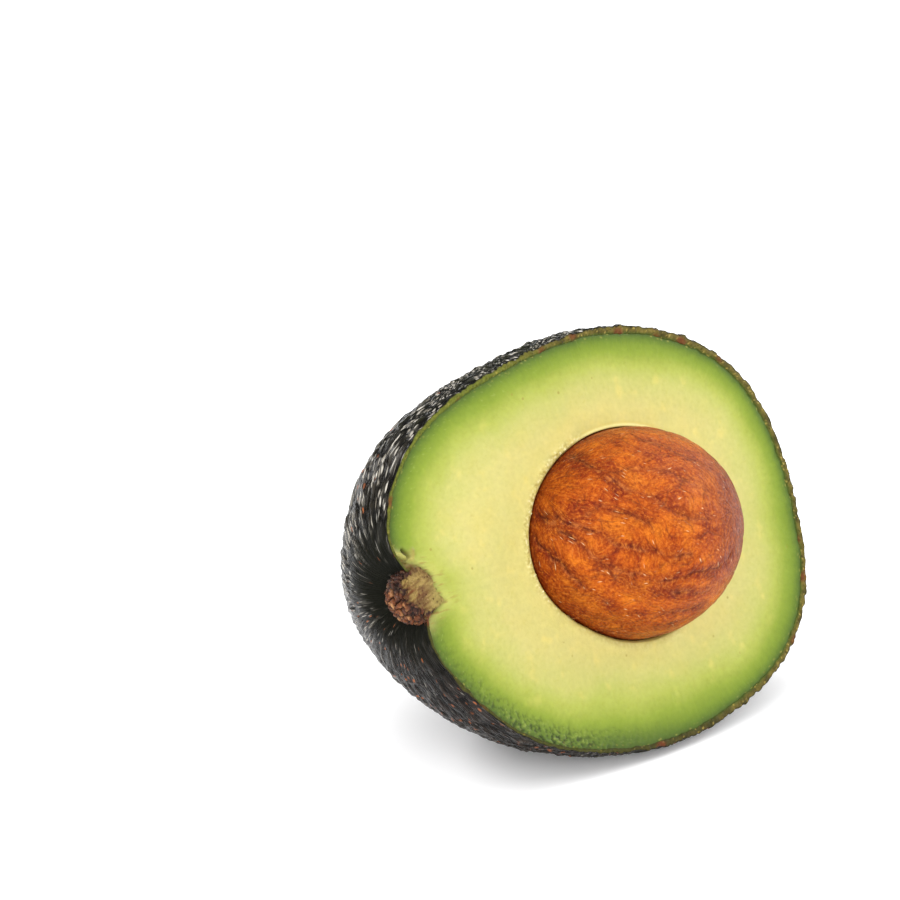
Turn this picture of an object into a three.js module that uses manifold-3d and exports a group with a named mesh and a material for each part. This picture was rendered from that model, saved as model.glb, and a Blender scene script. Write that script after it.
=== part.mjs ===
// Avocado half with its seed, millimetres, +Z up.
//
// Fruit coordinates, used while the pieces are shaped: x runs along the fruit towards the stem, y across the cut face
// towards its lower edge, z out of the cut face, and the cut face is z = 0. At the end everything is turned into the
// resting pose: the stem end points along -X, the cut face looks towards -Y and a little up, and the underside stands
// on a small flat spot at Z = 0.
import * as THREE from "three";
import { mergeVertices } from "three/addons/utils/BufferGeometryUtils.js";
import Module from "manifold-3d";

// ---------------------------------------------------------------- driving dimensions (mm, degrees)
const AXIS_DEPTH = 3.0; // the fruit's own axis lies this far behind the cut, so the half is a little more than a half
const MEAN_R = 40.88; // mean radius of the outline about its middle
const ALONG = [1.69, 4.79, 1.34, -0.22, 0.31, -0.29, 0.08]; // outline, the same on both sides: shift, length, egg shape ...
const ACROSS = [1.6, -1.05, -0.61, -0.66, -0.48, -0.13, -0.18]; // outline, part that differs between lower and upper side
// The cross-section is not quite round: share of the radius that changes 2, 3 and 4 times round (cosine, sine),
// counted from the lower side round the back.
const SECTION = [
  [2, -0.0339, 0.0201],
  [3, -0.0092, 0.0147],
  [4, 0.0277, -0.0159],
];
const PEEL = 1.2; // skin thickness
const GAP = 0.3; // clearance between neighbouring pieces

const DIMPLE = 4.4; // depth of the hollow round the stem
const DIMPLE_R = 6.2; // its spread

const SEED = { at: [-1.7, 1.1, 0], long: 21.1, wide: 18.0, deep: 17.7, point: 0.03 };

const STUB = { y: 0.3, z: -1.5, root: 39.0, tip: 48.3, rootR: 3.6, r: 4.9, proud: 0.9 };

const STEM_RISE = 0.9; // the stem end is this much higher than level
const FACE_RISE = 22.2; // the cut face looks up by this much
const FLAT = 2.2; // how much of the round underside the flat spot takes off

const AROUND = 48; // facets round the fruit
const ENDWAYS = 26; // facets from end to end

// ---------------------------------------------------------------- solids
const wasm = await Module();
wasm.setup();
const rad = (d) => (d * Math.PI) / 180;

function solid(geometry) {
  const g = geometry.clone();
  g.deleteAttribute("normal");
  g.deleteAttribute("uv");
  const m = mergeVertices(g, 1e-4);
  return new wasm.Manifold(
    new wasm.Mesh({
      numProp: 3,
      vertProperties: new Float32Array(m.attributes.position.array),
      triVerts: new Uint32Array(m.index.array),
    }),
  );
}

// Radius of the outline about its middle, at angle a from the stem end; side is +1 on the lower side, -1 on the upper.
function outline(a, side) {
  let r = MEAN_R;
  for (let k = 1; k <= ALONG.length; k++)
    r += ALONG[k - 1] * Math.cos(k * a) + side * ACROSS[k - 1] * Math.sin(k * a);
  return r;
}

// A point of the fruit's surface, sunk by inset, in fruit coordinates; dir is a unit vector from the fruit's middle.
function fruitPoint(dir, inset) {
  const a = Math.acos(THREE.MathUtils.clamp(dir.x, -1, 1));
  const p = Math.atan2(-dir.z, dir.y);
  const lower = (1 + Math.cos(p)) / 2;
  let across = 1;
  for (const [k, c, s] of SECTION) across += c * Math.cos(k * p) + s * Math.sin(k * p);
  const r = outline(a, 1) * lower + outline(a, -1) * (1 - lower) - inset;
  const at = (rr) => [
    rr * Math.cos(a),
    rr * Math.sin(a) * across * Math.cos(p),
    -AXIS_DEPTH - rr * Math.sin(a) * across * Math.sin(p),
  ];
  let [x, y, z] = at(r);
  if (x > 0) {
    const s2 = (y - STUB.y) ** 2 + (z - STUB.z) ** 2;
    x -= DIMPLE * Math.exp(-s2 / DIMPLE_R ** 2);
  }
  return [x, y, z];
}

function fruit(inset) {
  const g = new THREE.SphereGeometry(1, AROUND, ENDWAYS);
  const pos = g.attributes.position;
  const dir = new THREE.Vector3();
  for (let i = 0; i < pos.count; i++) {
    dir.set(pos.getY(i), pos.getX(i), -pos.getZ(i)).normalize();
    pos.setXYZ(i, ...fruitPoint(dir, inset));
  }
  return solid(g);
}

function seedBody(grow) {
  const g = new THREE.SphereGeometry(1, 36, 20);
  const pos = g.attributes.position;
  for (let i = 0; i < pos.count; i++) {
    const x = pos.getY(i),
      y = pos.getX(i),
      z = -pos.getZ(i);
    const taper = 1 - SEED.point * x; // a little narrower towards the stem
    pos.setXYZ(
      i,
      SEED.at[0] + x * (SEED.long + grow),
      SEED.at[1] + y * (SEED.wide * taper + grow),
      SEED.at[2] + z * (SEED.deep * taper + grow),
    );
  }
  return solid(g);
}

function stubBody(grow) {
  const R = STUB.r + grow;
  const profile = [
    new THREE.Vector2(0, STUB.root - grow),
    new THREE.Vector2(STUB.rootR + grow, STUB.root - grow),
    new THREE.Vector2(STUB.rootR + grow + 0.7, STUB.root + 1.2),
    new THREE.Vector2(R, STUB.root + 3.4),
    new THREE.Vector2(R, STUB.root + 5.6),
    new THREE.Vector2(R * 0.9, STUB.root + 7.3),
    new THREE.Vector2(R * 0.62, STUB.tip - 0.5 + grow),
    new THREE.Vector2(0, STUB.tip + grow),
  ];
  const g = new THREE.LatheGeometry(profile, 24);
  g.applyMatrix4(
    new THREE.Matrix4().makeBasis(
      new THREE.Vector3(0, 1, 0),
      new THREE.Vector3(1, 0, 0),
      new THREE.Vector3(0, 0, -1),
    ),
  );
  g.translate(0, STUB.y, STUB.z);
  return solid(g);
}

function block(x0, x1, y0, y1, z0, z1) {
  const g = new THREE.BoxGeometry(x1 - x0, y1 - y0, z1 - z0);
  g.translate((x0 + x1) / 2, (y0 + y1) / 2, (z0 + z1) / 2);
  return solid(g);
}

// ---------------------------------------------------------------- resting pose
const up = new THREE.Vector3(Math.sin(rad(STEM_RISE)), 0, Math.sin(rad(FACE_RISE)));
up.y = -Math.sqrt(1 - up.x * up.x - up.z * up.z);
const xWorld = new THREE.Vector3(1, 0, 0).addScaledVector(up, -up.x).normalize().negate();
const yWorld = new THREE.Vector3().crossVectors(up, xWorld);
const turn = new THREE.Matrix4().set(
  xWorld.x, xWorld.y, xWorld.z, 0,
  yWorld.x, yWorld.y, yWorld.z, 0,
  up.x, up.y, up.z, 0,
  0, 0, 0, 1,
);
const turned = (s, m) => s.transform(m.elements);

const HALF_SPACE = block(-200, 200, -200, 200, -200, 0);
const skinOuter = turned(fruit(0).intersect(HALF_SPACE), turn);
const low = skinOuter.boundingBox().min[2] + FLAT;
const spot = skinOuter.intersect(block(-200, 200, -200, 200, low - 0.05, low + 0.05)).boundingBox();
const shift = new THREE.Matrix4().makeTranslation(
  -(spot.min[0] + spot.max[0]) / 2,
  -(spot.min[1] + spot.max[1]) / 2,
  -low,
);
const pose = new THREE.Matrix4().multiplyMatrices(shift, turn);
const above = (z) => block(-200, 200, -200, 200, z, 200);

const placed = (s) => turned(s, pose);
const stubHole = stubBody(GAP);
const peel = placed(fruit(0).intersect(HALF_SPACE).subtract(stubHole))
  .intersect(above(0))
  .subtract(placed(fruit(PEEL)).intersect(above(PEEL)));
const flesh = placed(
  fruit(PEEL + GAP).intersect(HALF_SPACE).subtract(seedBody(GAP)).subtract(stubHole),
).intersect(above(PEEL + GAP));
const seed = placed(seedBody(0));
const stub = placed(stubBody(0).intersect(block(-200, 200, -200, 200, -200, STUB.proud)));

// ---------------------------------------------------------------- named meshes
const group = new THREE.Group();
function piece(name, body, color, roughness, metalness) {
  const m = body.getMesh();
  const n = m.numProp;
  const v = new Float32Array(m.numVert * 3);
  for (let i = 0; i < m.numVert; i++)
    v.set(m.vertProperties.subarray(i * n, i * n + 3), i * 3);
  const g = new THREE.BufferGeometry();
  g.setAttribute("position", new THREE.BufferAttribute(v, 3));
  g.setIndex(new THREE.BufferAttribute(new Uint32Array(m.triVerts), 1));
  g.computeVertexNormals();
  const mesh = new THREE.Mesh(
    g,
    new THREE.MeshStandardMaterial({ color, roughness, metalness }),
  );
  mesh.name = name;
  group.add(mesh);
}
piece("peel", peel, 0x2b2f28, 0.45, 0);
piece("flesh", flesh, 0xd9de86, 0.5, 0);
piece("seed", seed, 0x9a4a1c, 0.35, 0);
piece("stem_stub", stub, 0x8a5a32, 0.8, 0);

export default group;
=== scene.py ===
import math

import bpy
import numpy as np
from mathutils import Matrix, Vector


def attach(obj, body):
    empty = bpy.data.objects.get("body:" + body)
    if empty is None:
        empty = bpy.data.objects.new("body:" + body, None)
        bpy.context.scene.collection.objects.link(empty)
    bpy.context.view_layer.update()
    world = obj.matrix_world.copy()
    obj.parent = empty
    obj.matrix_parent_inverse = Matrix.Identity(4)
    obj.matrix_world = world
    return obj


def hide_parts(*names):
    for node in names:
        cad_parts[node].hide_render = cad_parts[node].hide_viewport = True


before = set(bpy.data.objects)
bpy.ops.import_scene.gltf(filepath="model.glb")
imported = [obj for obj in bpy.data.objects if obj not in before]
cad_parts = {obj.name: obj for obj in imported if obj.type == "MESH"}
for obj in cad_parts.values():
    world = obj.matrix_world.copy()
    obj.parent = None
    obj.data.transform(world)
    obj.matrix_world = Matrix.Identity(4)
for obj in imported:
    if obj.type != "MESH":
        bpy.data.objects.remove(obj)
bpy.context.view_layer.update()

# ---------------------------------------------------------------------------------------------
# Driving dimensions, millimetres and degrees, in fruit coordinates: x along the fruit towards the
# stem, y across the cut face towards its lower edge, z out of the cut face, cut face at z = 0.
# ---------------------------------------------------------------------------------------------
AXIS_DEPTH = 3.0
MEAN_R = 40.88
ALONG = (1.69, 4.79, 1.34, -0.22, 0.31, -0.29, 0.08)
ACROSS = (1.6, -1.05, -0.61, -0.66, -0.48, -0.13, -0.18)
SECTION = ((2, -0.0339, 0.0201), (3, -0.0092, 0.0147), (4, 0.0277, -0.0159))
PEEL = 1.2
DIMPLE, DIMPLE_R = 4.4, 6.2
SEED_AT = np.array((-1.7, 1.1, 0.0))
SEED_LONG, SEED_WIDE, SEED_DEEP, SEED_POINT = 21.1, 18.0, 17.7, 0.03
STUB_Y, STUB_Z, STUB_ROOT, STUB_TIP, STUB_R, STUB_ROOT_R, STUB_PROUD = 0.3, -1.5, 39.0, 48.3, 4.9, 3.6, 0.9
STEM_RISE, FACE_RISE = 0.9, 22.2
SHIFT = np.array((-2.4087, -3.2560, 36.3061))  # the fruit's own origin, in the row frame
CORE = np.array((3.0, 0.8, 0.0))  # point in the cut face from which the skin is laid out

_up = np.array((math.sin(math.radians(STEM_RISE)), 0.0, math.sin(math.radians(FACE_RISE))))
_up[1] = -math.sqrt(1 - _up[0] ** 2 - _up[2] ** 2)
_xw = -(np.array((1.0, 0, 0)) - _up[0] * _up)
_xw /= np.linalg.norm(_xw)
TURN = np.array((_xw, np.cross(_up, _xw), _up))


def to_row(p):
    """Fruit coordinates in mm to the row frame in metres."""
    return (p @ TURN.T + SHIFT) * 0.001


def to_fruit(p):
    return (p * 1000.0 - SHIFT) @ TURN


# the viewing direction, in fruit coordinates: right, up and towards the viewer
VIEW_R = np.array((-0.747804, 0.238965, 0.619423))
VIEW_U = np.array((-0.211531, -0.970114, 0.118883))
VIEW_B = np.array((0.629320, -0.042126, 0.776003))
VIEW_AT = np.array((427.2618, -47.2047, 488.5635))

# ---------------------------------------------------------------------------------------------
# noise
# ---------------------------------------------------------------------------------------------
_rng = np.random.default_rng(20)
_GRAD = _rng.normal(size=(1024, 3))
_GRAD /= np.linalg.norm(_GRAD, axis=1)[:, None]
_RAND = _rng.random((4096, 4))


def _hash(ix, iy, iz, seed):
    h = (ix * 374761393 + iy * 668265263 + iz * 1440662683 + seed * 1274126177) & 0xFFFFFFFF
    h = ((h ^ (h >> 13)) * 1274126177) & 0xFFFFFFFF
    return h ^ (h >> 16)


def perlin(p, seed=0):
    """Smooth noise, about -1 to 1."""
    i = np.floor(p).astype(np.int64)
    f = p - i
    u = f * f * f * (f * (f * 6 - 15) + 10)
    out = np.zeros(len(p))
    for dx in (0, 1):
        wx = u[:, 0] if dx else 1 - u[:, 0]
        for dy in (0, 1):
            wy = u[:, 1] if dy else 1 - u[:, 1]
            for dz in (0, 1):
                wz = u[:, 2] if dz else 1 - u[:, 2]
                g = _GRAD[_hash(i[:, 0] + dx, i[:, 1] + dy, i[:, 2] + dz, seed) & 1023]
                d = g[:, 0] * (f[:, 0] - dx) + g[:, 1] * (f[:, 1] - dy) + g[:, 2] * (f[:, 2] - dz)
                out += wx * wy * wz * d
    return out * 1.7


def fbm(p, octaves=4, seed=0, gain=0.5):
    total, amp, norm = np.zeros(len(p)), 1.0, 0.0
    for k in range(octaves):
        total += amp * perlin(p * (2.03**k) + 17.3 * k, seed + 31 * k)
        norm += amp
        amp *= gain
    return total / norm


def worley(p, seed=0, jitter=0.9):
    """Distances to the nearest and second nearest point, and four random numbers of the nearest cell."""
    i = np.floor(p).astype(np.int64)
    f1 = np.full(len(p), 9.0)
    f2 = np.full(len(p), 9.0)
    cell = np.zeros(len(p), np.int64)
    for dx in (-1, 0, 1):
        for dy in (-1, 0, 1):
            for dz in (-1, 0, 1):
                h = _hash(i[:, 0] + dx, i[:, 1] + dy, i[:, 2] + dz, seed) & 4095
                q = _RAND[h]
                ex = i[:, 0] + dx + 0.5 + jitter * (q[:, 0] - 0.5) - p[:, 0]
                ey = i[:, 1] + dy + 0.5 + jitter * (q[:, 1] - 0.5) - p[:, 1]
                ez = i[:, 2] + dz + 0.5 + jitter * (q[:, 2] - 0.5) - p[:, 2]
                d = ex * ex + ey * ey + ez * ez
                near = d < f1
                f2 = np.where(near, f1, np.minimum(f2, d))
                cell = np.where(near, h, cell)
                f1 = np.where(near, d, f1)
    return np.sqrt(f1), np.sqrt(f2), _RAND[(cell * 7 + 13) & 4095]


def smooth(a, b, x):
    t = np.clip((x - a) / (b - a), 0, 1)
    return t * t * (3 - 2 * t)


def lerp(a, b, t):
    return a + (b - a) * t


def srgb(*c):
    """0-255 display colour to linear."""
    c = np.array(c, float) / 255.0
    return np.where(c <= 0.04045, c / 12.92, ((c + 0.055) / 1.055) ** 2.4)


def mixc(a, b, t):
    return a + (b - a) * np.asarray(t)[..., None]


# ---------------------------------------------------------------------------------------------
# mesh helpers
# ---------------------------------------------------------------------------------------------
def signed_volume(v, faces):
    """Of a mesh given as quads and triangles; quads have four columns."""
    total = 0.0
    for f in faces:
        if not len(f):
            continue
        for k in range(1, f.shape[1] - 1):
            a, b, c = v[f[:, 0]], v[f[:, k]], v[f[:, k + 1]]
            total += np.einsum("ij,ij->i", a, np.cross(b, c)).sum() / 6
    return total


def make_mesh(name, local, faces, colours=None, vectors=None, floats=None):
    """A closed piece from points in fruit coordinates (mm) and a list of face index arrays."""
    v = to_row(local)
    if signed_volume(v, faces) < 0:
        faces = [f[:, ::-1] for f in faces]
    me = bpy.data.meshes.new(name)
    me.vertices.add(len(v))
    me.vertices.foreach_set("co", v.astype(np.float32).ravel())
    loops = np.concatenate([f.ravel() for f in faces]).astype(np.int32)
    counts = np.concatenate([np.full(len(f), f.shape[1]) for f in faces]).astype(np.int32)
    starts = np.concatenate(([0], np.cumsum(counts)[:-1])).astype(np.int32)
    me.loops.add(len(loops))
    me.loops.foreach_set("vertex_index", loops)
    me.polygons.add(len(counts))
    me.polygons.foreach_set("loop_start", starts)
    me.polygons.foreach_set("loop_total", counts)
    me.update(calc_edges=True)
    me.validate()
    me.polygons.foreach_set("use_smooth", np.ones(len(me.polygons), bool))
    for n, c in (colours or {}).items():
        at = me.color_attributes.new(n, "FLOAT_COLOR", "POINT")
        rgba = np.ones((len(v), 4), np.float32)
        rgba[:, :3] = np.clip(c, 0, 1)
        at.data.foreach_set("color", rgba.ravel())
    for n, c in (vectors or {}).items():
        at = me.attributes.new(n, "FLOAT_VECTOR", "POINT")
        at.data.foreach_set("vector", np.asarray(c, np.float32).ravel())
    for n, c in (floats or {}).items():
        at = me.attributes.new(n, "FLOAT", "POINT")
        at.data.foreach_set("value", np.asarray(c, np.float32))
    ob = bpy.data.objects.new(name, me)
    bpy.context.scene.collection.objects.link(ob)
    return ob


# ---------------------------------------------------------------------------------------------
# the fruit's smooth shape
# ---------------------------------------------------------------------------------------------
def outline(a, side):
    r = np.full_like(a, MEAN_R)
    for k in range(1, len(ALONG) + 1):
        r = r + ALONG[k - 1] * np.cos(k * a) + side * ACROSS[k - 1] * np.sin(k * a)
    return r


def level(p):
    """How far a point lies outside the smooth skin, about in mm."""
    x, y, z = p[:, 0], p[:, 1], p[:, 2]
    s2 = (y - STUB_Y) ** 2 + (z - STUB_Z) ** 2
    x = x + smooth(0.0, 20.0, x) * DIMPLE * np.exp(-s2 / DIMPLE_R**2)
    w = z + AXIS_DEPTH
    ph = np.arctan2(-w, y)
    low = (1 + np.cos(ph)) / 2
    q = np.hypot(y, w) / (1 + sum(c * np.cos(k * ph) + s * np.sin(k * ph) for k, c, s in SECTION))
    a = np.arctan2(q, x)
    return np.hypot(q, x) - (outline(a, 1) * low + outline(a, -1) * (1 - low))


def cast(start, dirs, inset):
    """Points along dirs from start where the skin level is -inset."""
    lo = np.zeros(len(dirs))
    hi = np.full(len(dirs), 75.0)
    for _ in range(26):
        mid = (lo + hi) / 2
        out = level(start + dirs * mid[:, None]) > -inset
        hi = np.where(out, mid, hi)
        lo = np.where(out, lo, mid)
    return start + dirs * ((lo + hi) / 2)[:, None]


def level_normal(p):
    e = 0.05
    g = np.stack([level(p + d) - level(p - d) for d in np.eye(3) * e], 1)
    return g / np.linalg.norm(g, axis=1)[:, None]


def stem_coordinates(p):
    """Angle round the stem, and distance from it along the skin."""
    phi = np.arctan2(p[:, 2] - STUB_Z, p[:, 1] - STUB_Y)
    d = p - CORE
    s = 43.0 * np.arctan2(np.hypot(d[:, 1], d[:, 2] - STUB_Z), d[:, 0])
    return phi, s


def round_grid(phi, s, n, length, turn=0.0):
    """Coordinates for a pattern with n cells round the fruit, each length mm long, that meets itself."""
    r = n / (2 * math.pi)
    return np.stack([r * np.cos(phi + turn), r * np.sin(phi + turn), s / length], 1)


_S = np.linspace(0, 160, 641)
_LEN = 7.5 + (2.7 - 7.5) * smooth(16.0, 48.0, _S)
_U = np.concatenate(([0], np.cumsum(0.25 / _LEN[1:])))


def fold_coordinates(p):
    """Angle round the stem and a count of cells away from it: long folds near the stem, short pebbles further on."""
    phi, s = stem_coordinates(p)
    near = smooth(62.0, 14.0, s)
    phi = phi + (0.026 * perlin(p / 4.2, 3) + 0.13 * perlin(p / 14.0, 4)) * (1.15 - near)
    phi = phi + 0.007 * perlin(p / 1.8, 6)
    u = np.interp(s + 2.0 * perlin(p / 6.0 + 9.1, 5), _S, _U)
    return phi, u, s, near


def skin_relief(p):
    """Height of the skin's pebbles and folds in mm (about -0.75 to 0.1), and their shape 0 to 1."""
    phi, u, s, near = fold_coordinates(p)
    far = smooth(84.0, 104.0, s)
    f1, f2, c = worley(round_grid(phi, u, 62, 1.0), 21, 0.95)
    a = smooth(0.0, 0.5, f2 - f1) * (0.7 + 0.3 * c[:, 0])
    f1, f2, c = worley(round_grid(phi, u * 1.35, 116, 1.0), 23, 0.95)
    b = smooth(0.0, 0.5, f2 - f1)
    g1, g2, cc = worley(p / 2.0 + 5.0, 24, 0.95)
    belly = smooth(0.0, 0.5, g2 - g1) * (0.7 + 0.3 * cc[:, 0])
    shape = lerp(lerp(0.45 * a + 0.45 * belly, 0.5 * a + 0.4 * b, near), belly, far)
    f1, f2, c = worley(round_grid(phi, u * 1.35, 160, 1.0), 28, 0.85)
    thin = smooth(0.02, 0.50, f2 - f1)
    f1, f2, c2 = worley(round_grid(phi, u * 1.1, 124, 1.0), 29, 0.85)
    folds = smooth(0.02, 0.50, f2 - f1)
    steep = smooth(0.35, 0.75, near)
    thin, lit = lerp(thin, folds, steep), lerp(c[:, 1], c2[:, 1], steep)
    broad = perlin(p / 10.0, 26)
    knobs = perlin(p / 2.9, 27)
    rim = smooth(-5.0, -0.5, p[:, 2]) * (1 - near)
    h = -0.42 + 0.46 * shape * (1 - 0.45 * rim) + 0.20 * thin + 0.14 * broad + (0.12 + 0.12 * rim) * knobs * (1 - near) + 0.12 * rim
    return np.minimum(h, 0.30), np.clip(shape / 0.9, 0, 1), near, thin, lit


# ---------------------------------------------------------------------------------------------
# peel
# ---------------------------------------------------------------------------------------------
def disc_directions(n, edge=90.0, even=None):
    """A square grid laid on a half ball: index (n+1)*(n+1), rim in the plane z = 0; even packs it closer to the rim."""
    t = np.linspace(-1, 1, n + 1)
    a, b = np.meshgrid(t, t, indexing="ij")
    a, b = a.ravel(), b.ravel()
    big = np.abs(a) >= np.abs(b)
    safe_a = np.where(np.abs(a) < 1e-9, 1e-9, a)
    safe_b = np.where(np.abs(b) < 1e-9, 1e-9, b)
    r = np.where(big, a, b)
    th = np.where(big, (math.pi / 4) * (b / safe_a), math.pi / 2 - (math.pi / 4) * (a / safe_b))
    x, y = r * np.cos(th), r * np.sin(th)
    rho = np.hypot(x, y)
    th = np.arctan2(y, x)
    rho = np.clip(rho, 0, 1)
    psi = 2 * np.arcsin(rho / math.sqrt(2)) * (edge / 90.0)
    if even is not None:
        psi = (math.pi / 2) * ((1 + even) * rho - even * rho * rho)
    d = np.stack([np.sin(psi) * np.cos(th), np.sin(psi) * np.sin(th), -np.cos(psi)], 1)
    on_rim = np.isclose(rho, 1.0)
    if edge == 90.0:
        d[on_rim, 2] = 0.0
    return d


def grid_quads(n, m=None, offset=0):
    m = n if m is None else m
    i, j = np.meshgrid(np.arange(n), np.arange(m), indexing="ij")
    a = (i * (m + 1) + j).ravel() + offset
    return np.stack([a, a + m + 1, a + m + 2, a + 1], 1)


def grid_rim(n):
    """Indices round the edge of a disc grid, in order."""
    k = np.arange(n)
    return np.concatenate(
        [k * (n + 1), n * (n + 1) + k, (n - k) * (n + 1) + n, n - k]
    )


RIM_RINGS = 6


def rim_thickness(theta):
    q = np.stack([np.cos(theta) * 9, np.sin(theta) * 9, np.zeros_like(theta)], 1)
    wide = smooth(-0.25, 0.65, -np.cos(theta - math.radians(-12)))  # widest on the side away from the stem
    upper = smooth(0.0, 0.8, -np.sin(theta))
    return PEEL * (0.66 + 0.50 * wide + 0.36 * upper * (1 - 0.6 * wide) + 0.16 * perlin(q, 41) + 0.12 * perlin(q * 4.1, 42))


def build_peel():
    n, n2 = 288, 72
    d = disc_directions(n, even=0.30)
    p0 = cast(CORE, d, 0.0)
    nrm = level_normal(p0)
    flat = smooth(-2.5, -0.1, p0[:, 2])  # towards the cut the relief acts in the plane of the cut
    nrm[:, 2] *= 1 - flat
    nrm /= np.linalg.norm(nrm, axis=1)[:, None]
    h, shape, near, thin, lit = skin_relief(p0)
    # the relief is softer where it dips under the stem button
    rs = np.hypot(p0[:, 1] - STUB_Y, p0[:, 2] - STUB_Z)
    under = np.where(p0[:, 0] > 20, smooth(3.5, 8.0, rs), 1.0)
    h = h * under - 0.25 * (1 - under)
    dimple = np.where(p0[:, 0] > 10, np.exp(-((rs / 13.0) ** 4)), 0.0)
    h = lerp(h, -0.30 + 0.25 * (h + 0.30), dimple * 0.8)
    v = p0 + nrm * h[:, None]
    # the flat spot it rests on
    w = v @ TURN[2] + SHIFT[2]
    lifted = 0.5 * (w + np.sqrt(w * w + 0.09)) + 0.02
    v = v + TURN[2] * (lifted - w)[:, None]

    rim = grid_rim(n)
    outer = v[rim]
    theta = np.arctan2(p0[rim, 1] - CORE[1], p0[rim, 0] - CORE[0])
    thick = rim_thickness(theta)
    rim_dirs = d[rim]
    inner = cast(CORE, rim_dirs, thick)
    rings = []
    for k in range(1, RIM_RINGS + 1):
        t = k / RIM_RINGS
        q = lerp(outer, inner, t)
        g1, g2, _ = worley(q / 0.55, 43)
        grain = (1 - smooth(0.1, 0.75, g1)) * 0.24 + 0.14 * perlin(q / 0.9, 44)
        fall = 4 * t * (1 - t) if k < RIM_RINGS else 0.15
        q = q.copy()
        q[:, 2] += (0.10 + grain) * fall - 0.03
        q[:, :2] += 0.10 * np.stack([perlin(q / 0.7, 45), perlin(q / 0.7, 46)], 1) * fall
        rings.append(q)
    d2 = disc_directions(n2, 88.6)
    v2 = cast(CORE, d2, PEEL + 0.12)
    w2 = v2 @ TURN[2] + SHIFT[2]
    v2 = v2 + TURN[2] * np.maximum(0, 1.15 - w2)[:, None]

    count = len(v)
    parts = [v] + rings + [v2]
    verts = np.concatenate(parts)
    loop = len(rim)
    faces = [grid_quads(n)]
    prev = rim
    for k in range(RIM_RINGS):
        cur = count + k * loop + np.arange(loop)
        nxt = np.roll(np.arange(loop), -1)
        faces.append(np.stack([prev, prev[nxt], cur[nxt], cur], 1))
        prev = cur
    base2 = count + RIM_RINGS * loop
    rim2 = grid_rim(n2) + base2
    step = loop // len(rim2)
    k = np.arange(loop)
    near2 = ((k + step // 2) // step) % len(rim2)
    nxt = (k + 1) % loop
    tri = np.stack([prev[k], prev[nxt], rim2[near2[k]]], 1)
    change = near2[k] != near2[nxt]
    tri2 = np.stack([prev[nxt[change]], rim2[near2[nxt[change]]], rim2[near2[k[change]]]], 1)
    # the grid's and the lining's faces look opposite ways
    f2 = grid_quads(n2, offset=base2)[:, ::-1]
    # make the strips agree with the grid
    a = faces[0][0]
    faces_grid = faces[0]
    edge = {tuple(e) for e in zip(rim[:3], rim[1:4])}
    edges_grid = set()
    for col in range(4):
        edges_grid |= set(zip(faces_grid[:, col].tolist(), faces_grid[:, (col + 1) % 4].tolist()))
    same = any(e in edges_grid for e in edge)
    if same:  # a strip must walk the shared edge the other way
        faces = [faces[0]] + [f[:, ::-1] for f in faces[1:]]
        tri, tri2 = tri[:, ::-1], tri2[:, ::-1]
    faces.append(f2)
    faces.append(tri)
    faces.append(tri2)

    # colours
    black = srgb(35, 29, 23)
    green = srgb(44, 46, 27)
    grey = srgb(64, 54, 48)
    broad = 0.5 + 0.5 * perlin(p0 / 9.0, 51)
    # greyer, warmer skin on the lower side: partly its own tone, partly a painted sheen
    low_side = smooth(-10.0, 18.0, p0[:, 1])
    base = mixc(mixc(green, black, broad * 0.6), mixc(grey, black, broad * 0.45), low_side * 0.85)
    s_all = stem_coordinates(p0)[1]
    far = smooth(38, 95, s_all)
    base = mixc(base, srgb(48, 56, 30), far * 0.6)
    # painted sheen: a greyish-lilac band on the folds near the stem
    base = mixc(base, srgb(70, 62, 60), smooth(8, 14, s_all) * smooth(34, 20, s_all) * 0.45)
    # painted shade: darker in the low parts of the relief and near-black in the gaps between the folds
    ground = mixc(base * 0.5, base, smooth(0.12, 0.8, shape))
    col = mixc(ground * 0.16, ground, smooth(0.05, 0.75, thin))
    # painted highlights on the crests, more of them on the upper side
    upper = smooth(14.0, -14.0, p0[:, 1])
    patch = smooth(-0.35, 0.35, perlin(p0 / 3.2, 52))
    painted_crest_highlight = smooth(0.55, 0.95, thin) * smooth(lerp(0.60, 0.10, upper), lerp(0.95, 0.70, upper), lit) * lerp(0.35, 1.0, upper) * patch
    painted_crest_highlight = 0.36 * painted_crest_highlight * smooth(-32.0, -14.0, p0[:, 2])
    # painted shade: the hollow round the stem darkened
    col = mixc(col, srgb(19, 20, 10), dimple * 0.88)
    col = mixc(col, srgb(186, 180, 168), painted_crest_highlight * (1 - 0.5 * far) * (1 - 0.6 * dimple))
    rust = smooth(-4.0, 26.0, p0[:, 1]) * smooth(8.0, 15.0, s_all) * 0.9 + 0.25
    # painted highlight: how many of the short glint dashes show, more on the upper side, fewer towards the back
    painted_glint = lerp(0.20, 0.86, smooth(18.0, -6.0, p0[:, 1])) * (0.78 + 0.42 * patch) * lerp(1.0, 0.28, smooth(-12.0, -27.0, p0[:, 2]))
    painted_glint = painted_glint * (1 - 0.90 * dimple) * (1 - 0.4 * far)
    kind = np.zeros(len(v))

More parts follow.
